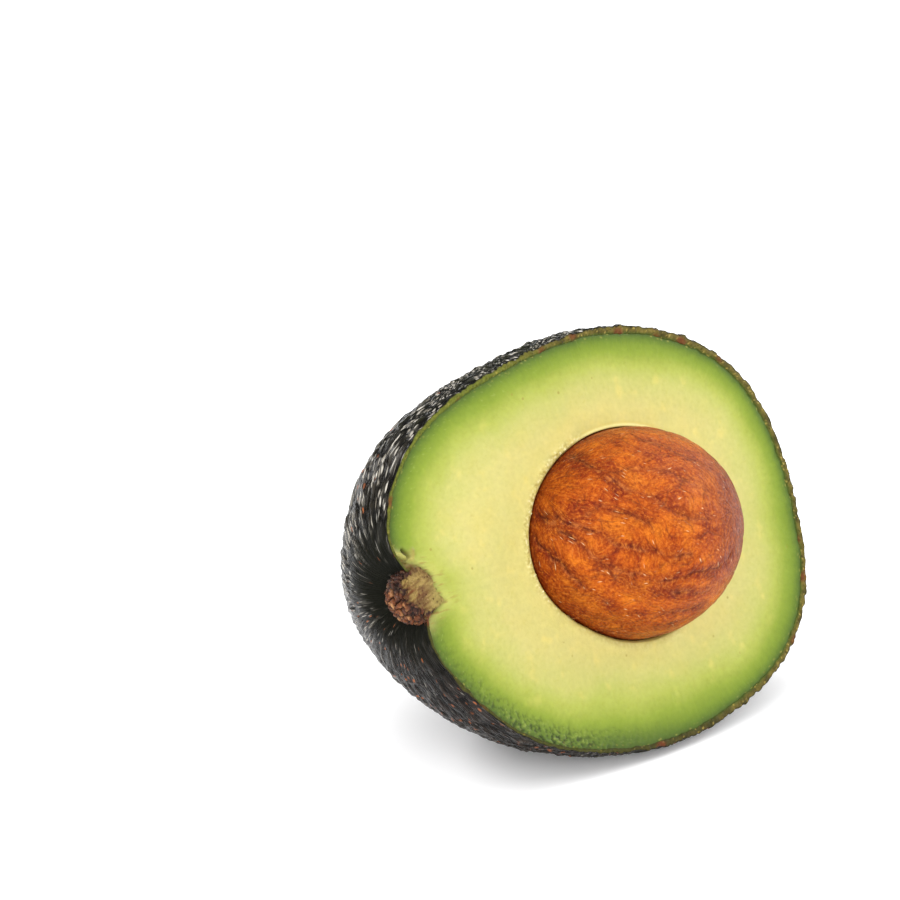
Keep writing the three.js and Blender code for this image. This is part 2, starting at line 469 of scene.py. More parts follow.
    ring_cols, ring_kind = [], []
    side = -np.cos(theta)  # 1 away from the stem
    for k, q in enumerate(rings, 1):
        t = k / RIM_RINGS
        m1 = np.clip(0.5 + 0.8 * perlin(q / 1.6, 61), 0, 1)
        base = mixc(srgb(70, 64, 28), srgb(116, 104, 48), m1)
        base = mixc(base, srgb(104, 112, 40), smooth(0.1, -0.6, side) * 0.85)
        base = mixc(base, srgb(74, 92, 34), smooth(0.62, 1.0, t) * np.ones(len(q)) * 0.85)
        lowleft = smooth(0.15, 0.75, np.cos(theta - math.radians(52)))
        base = mixc(base, srgb(58, 56, 28), lowleft * 0.8)
        f1, _, c = worley(q / 0.60, 62)
        g = smooth(0.45, 0.2, f1) * (c[:, 1] > lerp(0.90, 0.66, smooth(-0.5, 0.5, side)))
        base = mixc(base, srgb(186, 164, 84), g * lerp(0.40, 0.75, smooth(-0.5, 0.5, side)))
        f1, _, c = worley(q / 0.5, 64)
        base = mixc(base, srgb(48, 44, 20), smooth(0.42, 0.2, f1) * (c[:, 1] > 0.66) * 0.7)
        f1, _, c = worley(q / 3.0, 63)
        brown = smooth(0.5, 0.2, f1) * (c[:, 1] > 0.6)
        base = mixc(base, srgb(112, 56, 34), brown * 0.75)
        dark = smooth(0.24, 0.0, t) * np.ones(len(q))
        base = mixc(base, srgb(38, 33, 20), dark * 0.9)
        ring_cols.append(base)
        ring_kind.append(np.full(len(q), 1.0))
    col2 = np.tile(srgb(120, 140, 70), (len(v2), 1))
    cols = np.concatenate([col] + ring_cols + [col2])
    kinds = np.concatenate([kind] + ring_kind + [np.ones(len(v2))])

    ph, u, sv, nearv = fold_coordinates(verts)
    fib = round_grid(ph, u * 1.7, 200, 1.0)
    dash = round_grid(ph, u * 2.6, 262, 1.0)
    fleck = round_grid(ph, sv, 180, 2.0)
    rusts = np.concatenate([rust, np.zeros(len(verts) - len(rust))])
    painted_glints = np.concatenate([painted_glint, np.zeros(len(verts) - len(painted_glint))])
    hollow = np.concatenate([dimple, np.zeros(len(verts) - len(dimple))])
    return make_mesh(
        "peel_skin", verts, faces, {"tint": cols}, {"fib": fib, "dash": dash, "fleck": fleck}, {"cut": kinds, "rust": rusts, "near": nearv, "painted_glint": painted_glints, "hollow": hollow}
    )


# ---------------------------------------------------------------------------------------------
# flesh
# ---------------------------------------------------------------------------------------------
# colour of the cut flesh by distance from the skin, mm and display colour
FLESH_STOPS = (
    (0.0, (84, 106, 34)),
    (0.6, (107, 135, 40)),
    (1.7, (138, 163, 48)),
    (3.0, (160, 181, 62)),
    (5.0, (196, 205, 94)),
    (7.6, (220, 218, 126)),
    (12.0, (234, 224, 140)),
    (40.0, (236, 224, 139)),
)
# how wide the green band is, by degrees round the cut face from the stem end towards the lower edge
GREEN_WIDTH = (
    (-177, 1.04), (-153, 0.95), (-130, 1.08), (-105, 1.08), (-90, 1.03), (-53, 1.25), (-28, 1.32), (-15, 1.36), (-7, 1.27),
    (8, 1.30), (29, 1.23), (46, 1.38), (75, 1.64), (105, 1.46), (127, 1.18), (150, 1.28), (173, 1.28), (183, 1.04),
)  # fmt: skip


def flesh_colour(dist):
    xs = np.array([s[0] for s in FLESH_STOPS])
    cs = np.array([srgb(*s[1]) for s in FLESH_STOPS])
    return 0.605 * np.stack([np.interp(dist, xs, cs[:, k]) for k in range(3)], 1)


def line_distance(p, pts):
    """Distance in the cut face from a line through points (x, y)."""
    best = np.full(len(p), 1e9)
    for a, b in zip(pts[:-1], pts[1:]):
        a, b = np.array(a), np.array(b)
        ab = b - a
        u = np.clip(((p[:, :2] - a) @ ab) / (ab @ ab), 0, 1)
        best = np.minimum(best, np.linalg.norm(p[:, :2] - (a + u[:, None] * ab), axis=1))
    return best


def seed_dent(t):
    """The seed is a little flatter on its lower side towards the stem, mm by angle in the cut face."""
    return 0.95 * np.exp(-((np.angle(np.exp(1j * (t - math.radians(50)))) / math.radians(30)) ** 2))


# outline of the pale torn patch of the stem button, seen by the viewer, mm right and up of its middle
PALE = (
    (-0.9, 1.5), (-0.2, 3.0), (0.4, 5.2), (3.0, 7.0), (9.0, 6.0), (10.0, -1.0), (7.5, -2.6), (4.6, -2.4),
    (3.8, -3.0), (2.7, -2.7), (1.9, -1.4), (0.6, -0.6), (-0.8, 0.5),
)  # fmt: skip
STUB_MID = np.array((46.0, 0.3, -1.0))
# outline inside which the button stands out of the cut face
SHOWN = (
    (-9.0, -8.0), (-9.0, 7.0), (-0.4, 5.5), (1.45, 5.0), (2.7, 4.25), (3.85, 3.35), (4.15, 2.2), (4.7, 0.9), (6.0, -0.6),
    (4.9, -1.5), (4.15, -2.3), (3.4, -3.1), (3.0, -4.2), (1.8, -5.6), (-3.0, -8.0),
)  # fmt: skip


def polygon_distance(q, poly):
    """Signed distance in the plane, negative inside."""
    best = np.full(len(q), 1e9)
    inside = np.zeros(len(q), bool)
    n = len(poly)
    for k in range(n):
        a, b = np.array(poly[k]), np.array(poly[(k + 1) % n])
        ab = b - a
        u = np.clip(((q - a) @ ab) / (ab @ ab), 0, 1)
        best = np.minimum(best, np.linalg.norm(q - (a + u[:, None] * ab), axis=1))
        span = (a[1] > q[:, 1]) != (b[1] > q[:, 1])
        cross = a[0] + (q[:, 1] - a[1]) * (b[0] - a[0]) / (b[1] - a[1] + 1e-12)
        inside ^= span & (q[:, 0] < cross)
    return np.where(inside, -best, best)


def build_flesh():
    na, nr = 800, 100
    t = np.linspace(0, 2 * math.pi, na, endpoint=False)
    t = t - 0.42 * np.sin(t)  # closer together towards the stem, where the small details are
    ring = np.stack([np.cos(t) * 3, np.sin(t) * 3, 0 * t], 1)
    loose = np.clip(np.cos(t - math.radians(25)), 0, 1)  # where the seed has come loose a little
    gap = 0.07 + 0.05 * perlin(ring, 71) + 0.16 * loose * (0.75 + 0.5 * perlin(ring * 2.3, 70))
    inner = np.stack(
        [
            SEED_AT[0] + (SEED_LONG + gap) * np.cos(t),
            SEED_AT[1] + (SEED_WIDE * (1 - SEED_POINT * np.cos(t)) + gap) * np.sin(t),
            0 * t,
        ],
        1,
    )
    inner = inner - (inner - SEED_AT) / 19.0 * seed_dent(t)[:, None]
    dirs = inner - SEED_AT
    dirs /= np.linalg.norm(dirs, axis=1)[:, None]
    th0 = np.arctan2(cast(SEED_AT, dirs, 1.0)[:, 1] - CORE[1], cast(SEED_AT, dirs, 1.0)[:, 0] - CORE[0])
    outer = cast(SEED_AT, dirs, rim_thickness(th0) - 0.05)
    s = np.linspace(0, 1, nr + 1)
    s = 0.45 * s + 0.55 * (0.5 - 0.5 * np.cos(math.pi * s))  # closer rings at both edges
    grid = inner[None] + (outer - inner)[None] * s[:, None, None]
    face = grid.reshape(-1, 3)
    d_in = np.linalg.norm(face - np.tile(inner, (nr + 1, 1)), axis=1)
    d_out = np.linalg.norm(face - np.tile(outer, (nr + 1, 1)), axis=1)
    ang = np.tile(t, nr + 1)
    loose = np.tile(loose, nr + 1)
    snug = smooth(0.15, -0.35, np.cos(ang - math.radians(25)))  # the side where the flesh hugs the seed

    z = 0.06 * perlin(face / 7.0, 72) + 0.028 * fbm(face / 1.8, 3, 73)
    z += 0.02 * np.sin(face @ np.array((0.35, 0.8, 0.0)) * 1.1 + 1.5 * perlin(face / 12.0, 74))
    z += 0.16 * np.exp(-(((d_in - 1.2) / 0.8) ** 2)) * (0.6 + 0.6 * perlin(face / 3.0, 75)) * (1 - snug)
    z -= 0.40 * np.exp(-((d_in / 0.25) ** 2)) * (1 - snug)
    lip = np.exp(-(((d_in - 0.28) / 0.32) ** 2)) * snug
    z += 0.05 * lip * (0.8 + 0.5 * perlin(face / 2.2, 78))
    cr1, _, cc = worley(face / 0.62, 79)
    torn_side = lerp(0.22, 1.0, smooth(0.1, 0.75, np.cos(ang + math.radians(48))))
    crumbs = smooth(0.42, 0.15, cr1) * (cc[:, 1] > 0.55) * np.exp(-(((d_in - 0.5) / 0.45) ** 2)) * (1 - snug) * torn_side
    z += 0.30 * crumbs
    z -= 0.08 * np.exp(-d_out / 0.35)
    # bruised and torn places along the lower edge
    edge_low = smooth(5.0, 0.6, d_out) * (face[:, 1] > 5)
    low = np.exp(-(((face[:, 0] - 24.0) / 15.0) ** 2)) * edge_low
    rough = fbm(face / 0.75, 4, 76, 0.62)
    z += low * (0.55 * rough - 0.2)
    pit1, _, c = worley(face / 3.4, 77)
    pits = smooth(0.13, 0.05, pit1) * (c[:, 1] > 0.80)
    z -= 0.2 * pits
    # a small split beside the stem button, with a curled strip and a nub
    wob2 = 0.16 * np.stack([perlin(face / 0.8, 87), perlin(face / 0.8, 88), 0 * d_in], 1)
    fw = face + wob2
    split1 = line_distance(fw, ((45.45, -7.2), (45.0, -6.6), (44.65, -6.0)))
    split2 = line_distance(fw, ((48.4, -7.5), (47.3, -6.6), (46.4, -5.95), (45.2, -5.35)))
    strip = line_distance(fw, ((47.2, -7.1), (46.3, -6.7), (45.5, -6.1)))
    nub = line_distance(fw, ((43.7, -6.7), (44.1, -5.6)))
    s1 = np.exp(-((split1 / 0.36) ** 2))
    s2 = np.exp(-((split2 / 0.34) ** 2))
    st = np.exp(-((strip / 0.45) ** 2))
    nb = np.exp(-((nub / 0.50) ** 2))
    z += 0.50 * st + 0.35 * nb - 0.9 * s1 - 0.7 * s2
    # round the stem button
    at_stem = face[:, 0] > 30
    seen = np.stack([(face[:, :2] - STUB_MID[:2]) @ VIEW_R[:2] - STUB_MID[2] * VIEW_R[2], (face[:, :2] - STUB_MID[:2]) @ VIEW_U[:2] - STUB_MID[2] * VIEW_U[2]], 1)
    stub_d = np.full(len(face), 30.0)
    stub_d[at_stem] = np.maximum(0, polygon_distance(seen[at_stem], SHOWN))
    z -= 0.25 * np.exp(-((stub_d / 0.5) ** 2)) * at_stem
    strand = perlin(np.stack([face[:, 0] / 1.9, face[:, 1] / 0.42, 0 * face[:, 0]], 1), 86)
    stemmy = np.exp(-((stub_d / 1.7) ** 2)) * at_stem
    z += 0.22 * stemmy * strand
    face[:, 2] = z

    # colour
    around = np.degrees(np.arctan2(face[:, 1] - 1.0, face[:, 0]))
    width = np.interp(around, [g[0] for g in GREEN_WIDTH], [g[1] for g in GREEN_WIDTH], period=360)
    wob = 1.0 + 0.12 * perlin(face / 9.0, 81) + 0.05 * perlin(face / 2.6, 89)
    dist = d_out / (width * wob)
    streak = perlin(np.stack([np.cos(ang) * 70, np.sin(ang) * 70, d_out / 3.0], 1), 82)
    dist = np.maximum(0, dist * (1 + 0.025 * streak))
    col = flesh_colour(dist)
    cloud = fbm(face / 5.5, 4, 83)
    grainy = fbm(face / 0.9, 3, 91)
    col = col * (1 + 0.10 * grainy)[:, None]
    col = mixc(col, col * np.array((1.03, 0.98, 0.84)), np.clip(cloud, 0, 1) * smooth(5, 12, d_out))
    col = mixc(col, col * np.array((0.95, 1.0, 0.94)), np.clip(-cloud, 0, 1) * smooth(5, 12, d_out))
    warm = smooth(7.0, 1.0, d_in)
    col = mixc(col, srgb(236, 216, 132), warm * 0.30 * (0.6 + 0.4 * perlin(face / 2.5, 84)))
    # painted shade: a thin dark line where the flesh meets the seed
    col = mixc(col, srgb(150, 118, 50), np.exp(-((d_in / 0.16) ** 2)) * 0.75)
    # painted highlight: a bright line along the raised lip where the flesh hugs the seed
    col = mixc(col, srgb(246, 238, 164), np.clip(lip * 1.1, 0, 1) * 0.55 * smooth(0.03, 0.12, d_in))
    col = mixc(col, srgb(200, 178, 92), np.exp(-(((d_in - 0.75) / 0.22) ** 2)) * snug * 0.45)
    torn = fbm(face / 0.55, 3, 141)
    band = np.exp(-(((d_in - 0.7) / 0.85) ** 2)) * (1 - snug) * torn_side
    col = mixc(col, srgb(150, 128, 56), band * smooth(0.02, 0.40, torn) * 0.75)
    col = mixc(col, srgb(250, 246, 206), band * smooth(-0.05, -0.45, torn) * 0.55)
    col = mixc(col, srgb(248, 243, 202), crumbs * 0.9)
    # painted shade: darker towards the seed on the loose side, in the groove
    col = mixc(col, srgb(176, 150, 74), np.exp(-((d_in / 0.55) ** 2)) * (1 - snug) * 0.35 * (1 - crumbs))
    ochre = smooth(0.15, 0.7, fbm(face / 3.0 + 4.0, 3, 85)) * smooth(3.0, 9.0, d_out)
    col = mixc(col, srgb(224, 202, 112), ochre * 0.30)
    col = mixc(col, 0.8 * srgb(96, 118, 48), np.clip(low * 1.2, 0, 1) * 0.55)
    col = mixc(col, srgb(30, 34, 11), np.clip(low * smooth(0.04, -0.30, rough), 0, 1) * 0.92)
    col = mixc(col, srgb(150, 162, 76), np.clip(low * smooth(0.15, 0.5, rough), 0, 1) * 0.60)
    col = mixc(col, srgb(150, 128, 60), pits * 0.6)
    under_low = np.exp(-(((face[:, 0] - 7.0) / 9.0) ** 2)) * smooth(4.5, 1.0, d_out) * (face[:, 1] > 5)
    col = mixc(col, 0.605 * srgb(88, 112, 44), under_low * 0.5)
    # dark green skin-side line, speckled with yellow granules
    green_edge = np.exp(-d_out / 0.42)
    col = mixc(col, srgb(66, 84, 30), green_edge * 0.62)
    gr1, _, gc = worley(face / 0.58, 90)
    gran = smooth(0.42, 0.2, gr1) * (gc[:, 1] > 0.70) * np.exp(-d_out / 0.5)
    col = mixc(col, srgb(190, 176, 84), gran * 0.6)
    sp1, _, sc = worley(face / 0.50, 142)
    specks = smooth(0.36, 0.16, sp1) * (sc[:, 1] > 0.72) * np.exp(-(((d_out - 2.2) / 2.0) ** 2)) * smooth(-5.0, 20.0, face[:, 0])
    col = mixc(col, srgb(196, 206, 124), specks * 0.16)
    # the split
    col = mixc(col, srgb(142, 138, 70), np.clip(st, 0, 1) * 0.75)
    col = mixc(col, srgb(132, 108, 58), np.clip(nb, 0, 1) * 0.7)
    # painted shade: the inside of the split near-black
    col = mixc(col, srgb(22, 20, 8), np.clip(s1 * 1.3 + s2 * 1.15, 0, 1) ** 1.3 * 0.95)
    col = mixc(col, srgb(206, 196, 116), stemmy * 0.45)
    col = mixc(col, srgb(136, 100, 50), stemmy * smooth(0.15, 0.55, strand) * 0.75)
    # a dark brown line round the stem button: partly bruise, partly painted shade where it meets the flesh
    brown = np.exp(-((stub_d / 0.32) ** 2)) * at_stem * (0.35 + 0.65 * smooth(1.5, 3.6, np.abs(face[:, 1] - STUB_Y)))
    col = mixc(col, srgb(84, 58, 26), brown * 0.75)

    # wall of the hollow, then the back, hidden by the skin
    rings = []
    for k in range(1, 9):
        psi = math.radians(90 - k * 90 / 9)
        q = np.stack(
            [
                SEED_AT[0] + (SEED_LONG + gap + 0.1 - seed_dent(t)) * np.cos(t) * math.sin(psi),
                SEED_AT[1] + (SEED_WIDE * (1 - SEED_POINT * np.cos(t)) + gap + 0.1 - seed_dent(t)) * np.sin(t) * math.sin(psi),
                -(SEED_DEEP + 0.25) * math.cos(psi) + 0 * t,
            ],
            1,
        )
        rings.append(q)
    bottom = SEED_AT + np.array((0, 0, -(SEED_DEEP + 0.25)))
    outer_rings = []
    for k in range(1, 13):
        psi = math.radians(90 - k * 90 / 13)
        tc = np.arctan2(outer[:, 1] - CORE[1], outer[:, 0] - CORE[0])
        dd = np.stack([np.cos(tc) * math.sin(psi), np.sin(tc) * math.sin(psi), -math.cos(psi) + 0 * tc], 1)
        q = cast(CORE, dd, PEEL + (0.02 if k > 1 else 0.0))
        wq = q @ TURN[2] + SHIFT[2]
        q = q + TURN[2] * np.maximum(0, 1.25 - wq)[:, None]
        outer_rings.append(q)
    back = cast(CORE, np.array([[0, 0, -1.0]]), PEEL)[0]
    verts = np.concatenate([face] + rings + [bottom[None]] + outer_rings + [back[None]])
    nxt = np.roll(np.arange(na), -1)
    k = np.arange(na)
    faces = []
    for i in range(nr):
        a0, b0 = i * na, (i + 1) * na
        faces.append(np.stack([a0 + k, b0 + k, b0 + nxt, a0 + nxt], 1))
    base = (nr + 1) * na
    prev = k
    for i in range(8):
        cur = base + i * na + k
        faces.append(np.stack([cur, prev, prev[nxt], cur[nxt]], 1))
        prev = cur
    bi = base + 8 * na
    tris = [np.stack([np.full(na, bi), prev, prev[nxt]], 1)]
    base2 = bi + 1
    prev = nr * na + k
    for i in range(12):
        cur = base2 + i * na + k
        faces.append(np.stack([prev, cur, cur[nxt], prev[nxt]], 1))
        prev = cur
    ci = base2 + 12 * na
    tris.append(np.stack([prev, np.full(na, ci), prev[nxt]], 1))
    # painted shadow: the wall of the hollow, seen past the seed, coloured dark
    hollow_shadow_col = np.tile(srgb(138, 104, 46), (8 * na + 1, 1))
    back_col = np.tile(srgb(120, 150, 60), (12 * na + 1, 1))
    cols = np.concatenate([col, hollow_shadow_col, back_col])
    allang = np.concatenate([ang, np.tile(t, 8), [0.0], np.tile(t, 12), [0.0]])
    alld = np.concatenate([d_out, np.full(8 * na + 1, 12.0), np.zeros(12 * na + 1)])
    ray = np.stack([np.cos(allang) * 75, np.sin(allang) * 75, alld / 1.6], 1)
    wet = np.concatenate([smooth(8.0, 1.0, d_out), np.zeros(8 * na + 1), np.zeros(12 * na + 1)])
    return make_mesh("flesh_cut", verts, [np.concatenate(faces), np.concatenate(tris)], {"tint": cols}, {"ray": ray}, {"green": wet})


# ---------------------------------------------------------------------------------------------
# seed
# ---------------------------------------------------------------------------------------------
# main veins of the seed coat, drawn on the side that faces the viewer, in shares of its half width:
# (to the right, up), each with its depth
VEINS = (
    (1.0, ((-0.66, 0.74), (-0.59, 0.73), (-0.44, 0.64), (-0.30, 0.55), (-0.19, 0.48), (-0.09, 0.42))),
    (0.45, ((-0.09, 0.42), (0.10, 0.36), (0.28, 0.26), (0.50, 0.16), (0.66, 0.15))),
    (0.9, ((-0.92, 0.20), (-0.84, 0.15), (-0.72, 0.05), (-0.58, -0.05), (-0.47, -0.16), (-0.34, -0.27), (-0.18, -0.38), (-0.07, -0.46), (0.07, -0.52), (0.28, -0.54), (0.50, -0.53))),
    (0.7, ((-0.84, 0.20), (-0.72, 0.16), (-0.55, 0.08), (-0.34, 0.03), (-0.18, -0.07), (-0.04, -0.10), (0.12, -0.13), (0.28, -0.18), (0.47, -0.17))),
    (0.9, ((-0.95, -0.02), (-0.90, -0.10), (-0.79, -0.19), (-0.67, -0.30), (-0.55, -0.44), (-0.44, -0.55), (-0.32, -0.63), (-0.20, -0.72), (-0.07, -0.75), (0.14, -0.76), (0.38, -0.72), (0.60, -0.66))),
    (0.7, ((-0.41, -0.20), (-0.23, -0.30), (-0.11, -0.36), (0.05, -0.37), (0.19, -0.43), (0.38, -0.40), (0.56, -0.34), (0.75, -0.30), (0.88, -0.18))),
    (0.55, ((-0.46, 0.19), (-0.36, 0.27), (-0.30, 0.27), (-0.18, 0.20), (-0.02, 0.17), (0.10, 0.12))),
    (0.5, ((0.0, -0.53), (0.19, -0.48), (0.40, -0.51), (0.61, -0.53), (0.80, -0.41))),
    (0.6, ((0.05, 0.88), (0.19, 0.84), (0.38, 0.75), (0.52, 0.68), (0.70, 0.59), (0.84, 0.40))),
    (0.5, ((-0.58, -0.74), (-0.34, -0.81), (-0.07, -0.88), (0.21, -0.88), (0.42, -0.80))),
    (0.4, ((-0.30, 0.55), (-0.05, 0.62), (0.20, 0.60), (0.45, 0.50), (0.66, 0.40))),
)


def seed_front(u, v):
    """The point of the seed that shows at this place of its outline."""
    axes = np.array((SEED_LONG, SEED_WIDE, SEED_DEEP))
    r = math.hypot(u, v)
    if r > 0.97:
        u, v = u * 0.97 / r, v * 0.97 / r
    o = VIEW_R * (1.2 + u * 18.0) + VIEW_U * (0.2 + v * 18.1)
    a = ((VIEW_B / axes) ** 2).sum()
    b = 2 * ((o / axes) * (VIEW_B / axes)).sum()
    c = ((o / axes) ** 2).sum() - 1
    disc = max(b * b - 4 * a * c, 0.0)
    w = (-b + math.sqrt(disc)) / (2 * a)
    return SEED_AT + o + VIEW_B * w


def vein_distance(p, line):
    best = np.full(len(p), 1e9)
    pts = [np.array(seed_front(*q)) for q in line]
    fine = []
    for i in range(len(pts) - 1):  # smooth curve through the points
        p0 = pts[max(i - 1, 0)]
        p1, p2 = pts[i], pts[i + 1]
        p3 = pts[min(i + 2, len(pts) - 1)]
        for t in np.linspace(0, 1, 4, endpoint=False):
            fine.append(0.5 * (2 * p1 + (p2 - p0) * t + (2 * p0 - 5 * p1 + 4 * p2 - p3) * t * t + (3 * p1 - p0 - 3 * p2 + p3) * t**3))
    fine.append(pts[-1])
    for a, b in zip(fine[:-1], fine[1:]):
        ab = b - a
        u = np.clip(((p - a) @ ab) / max(ab @ ab, 1e-9), 0, 1)
        best = np.minimum(best, np.linalg.norm(p - (a + u[:, None] * ab), axis=1))
    return best


def build_seed():
    n = 118
    verts, faces, base = [], [], 0
    t = np.tan(np.linspace(-math.pi / 4, math.pi / 4, n + 1))
    a, b = np.meshgrid(t, t, indexing="ij")
    a, b = a.ravel(), b.ravel()
    one = np.ones_like(a)
    sides = ((one, a, b), (-one, b, a), (b, one, a), (a, -one, b), (a, b, one), (b, a, -one))
    for side in sides:
        d = np.stack(side, 1)
        verts.append(d / np.linalg.norm(d, axis=1)[:, None])
        faces.append(grid_quads(n, offset=base))
        base += len(a)
    d = np.concatenate(verts)
    quads = np.concatenate(faces)
    # weld the six sides
    key = np.round(d * 1e5).astype(np.int64)
    _, first, inv = np.unique(key, axis=0, return_index=True, return_inverse=True)
    d, quads = d[first], inv.reshape(-1)[quads]
    taper = 1 - SEED_POINT * d[:, 0]
    p = SEED_AT + d * np.array((SEED_LONG, SEED_WIDE, SEED_DEEP)) * np.stack([np.ones(len(d)), taper, taper], 1)
    nrm = d / np.array((SEED_LONG, SEED_WIDE, SEED_DEEP))
    nrm /= np.linalg.norm(nrm, axis=1)[:, None]
    p = p - (p - SEED_AT) / 19.0 * (seed_dent(np.arctan2(d[:, 1], d[:, 0])) * np.hypot(d[:, 0], d[:, 1]) ** 2)[:, None]
    r = p - SEED_AT

    # grain of the coat: it runs from a pole on the left of the view to the opposite side
    pole = VIEW_R * -0.80 + VIEW_U * 0.40 + VIEW_B * 0.44
    pole /= np.linalg.norm(pole)
    e1 = np.cross(pole, (0, 0, 1.0))
    e1 /= np.linalg.norm(e1)
    e2 = np.cross(pole, e1)
    along = r @ pole
    phi = np.arctan2(r @ e2, r @ e1)
    phi = phi + 0.22 * perlin(r / 9.0, 91) + 0.06 * perlin(r / 3.0, 92)
    al = along + 2.0 * perlin(r / 6.0, 93)

    wig = np.stack([perlin(r / 2.6, 94), perlin(r / 2.6, 95), perlin(r / 2.6, 96)], 1)
    q = p + 0.45 * wig
    crease = np.zeros(len(p))
    halo = np.zeros(len(p))
    threads = np.zeros(len(p))
    broken = smooth(-0.15, 0.25, perlin(r / 1.1, 106))
    for depth, line in VEINS:
        depth = min(1.0, 1.3 * depth)
        dist = vein_distance(q, line)
        crease = np.maximum(crease, depth * np.exp(-((dist / 0.27) ** 2)))
        halo = np.maximum(halo, depth * np.exp(-((dist / 1.25) ** 2)))
        threads = np.maximum(threads, depth * np.exp(-(((dist - 0.40) / 0.14) ** 2)) * broken)
    # the fine net between them, and the whole net on the sides that face away
    f1, f2, c = worley(round_grid(phi, al, 17, 9.5), 97, 0.9)
    net = np.exp(-(((f2 - f1) / 0.07) ** 2))
    net_halo = np.exp(-(((f2 - f1) / 0.28) ** 2))
    g1, g2, _ = worley(round_grid(phi, al, 40, 5.0), 98, 0.9)
    fine = np.exp(-(((g2 - g1) / 0.09) ** 2)) * (0.5 + 0.5 * perlin(r / 5.0, 99))
    front = smooth(-0.2, 0.35, (nrm @ VIEW_B))
    net_w = lerp(0.85, 0.14, front)
    line = np.clip(np.maximum(crease, net * net_w), 0, 1)
    soft = np.clip(np.maximum(0.9 * halo, net_halo * net_w), 0, 1)

    flake = perlin(round_grid(phi, al, 150, 2.2), 100)
    lump = fbm(r / 4.6, 3, 101)
    h = -0.16 * line - 0.10 * soft + 0.10 * lump + 0.012 * flake + 0.03 * perlin(r / 1.3, 102) - 0.05
    v = p + nrm * h[:, None]

    bright = 0.78 * srgb(228, 124, 26)
    mid = 0.80 * srgb(200, 94, 18)
    deep = 0.86 * srgb(150, 52, 11)
    dark = 0.86 * srgb(78, 28, 14)
    m = np.clip(0.56 + 0.60 * fbm(r / 4.6, 2, 103) + 0.30 * fbm(r / 1.3, 2, 107) + 0.22 * perlin(round_grid(phi, al, 60, 4.0), 104), 0, 1)
    su, sv = (r @ VIEW_R) / 18.0, (r @ VIEW_U) / 18.1
    for weight, cu, cv, wide in ((0.30, -0.52, -0.42, 0.22), (0.16, 0.15, -0.15, 0.35), (-0.26, -0.55, 0.66, 0.30)):
        m = m + weight * np.exp(-((su - cu) ** 2 + (sv - cv) ** 2) / wide**2)
    # painted shade: the coat dimmed in wide soft bands beside the veins and the net
    m = np.clip(m - 0.30 * soft, 0, 1)
    col = mixc(mixc(deep, mid, smooth(0.05, 0.5, m)), bright, smooth(0.45, 0.95, m))
    # painted shade: darker in wide soft bands beside the veins and the net
    col = mixc(col, mixc(deep, dark, 0.55), soft * 0.70)
    col = mixc(col, srgb(70, 24, 14), np.clip(line, 0, 1) * 0.80)
    col = mixc(col, dark, np.clip(fine, 0, 1) * 0.35)
    col = mixc(col, srgb(196, 118, 60), threads * 0.46)
    # lilac-brown painted sheen on the upper right; darker towards the right and lower-left edges, partly the coat's own
    # tone and partly painted shade; painted shade low down, where it sits in the hollow
    up_right = smooth(0.15, 0.9, (r @ (VIEW_R * 0.62 + VIEW_U * 0.55)) / 18.0)
    col = mixc(col, srgb(172, 100, 64), up_right * (0.34 + 0.25 * perlin(r / 3.0, 105)))
    # towards the right edge: partly darker coat, partly painted shade
    edge_r = smooth(0.62, 1.0, (r @ (VIEW_R * 0.97 + VIEW_U * 0.1)) / 18.5)
    col = mixc(col, mixc(deep, dark, 0.62), edge_r * 0.72)
    # painted shade: darker low down, near the cut face
    col = col * (1 - 0.16 * smooth(11.0, 1.5, p[:, 2]))[:, None]
    # towards the lower-left edge: partly darker coat, partly painted shade
    lowl = smooth(0.45, 1.0, (r @ (VIEW_R * -0.6 - VIEW_U * 0.75)) / 18.0)
    col = mixc(col, mixc(deep, dark, 0.4), lowl * 0.55)
    # painted shade: darker still next to the cut face, where the seed sits in the flesh
    rimd = smooth(2.2, 0.0, p[:, 2])
    col = mixc(col, mixc(dark, deep, 0.4), rimd * 0.55)
    grain = round_grid(phi, al, 108, 1.35)
    strand = round_grid(phi, along + 0.8 * perlin(r / 6.0, 93), 150, 2.4)
    return make_mesh("seed_coat", v, [quads], {"tint": col}, {"grain": grain, "strand": strand})


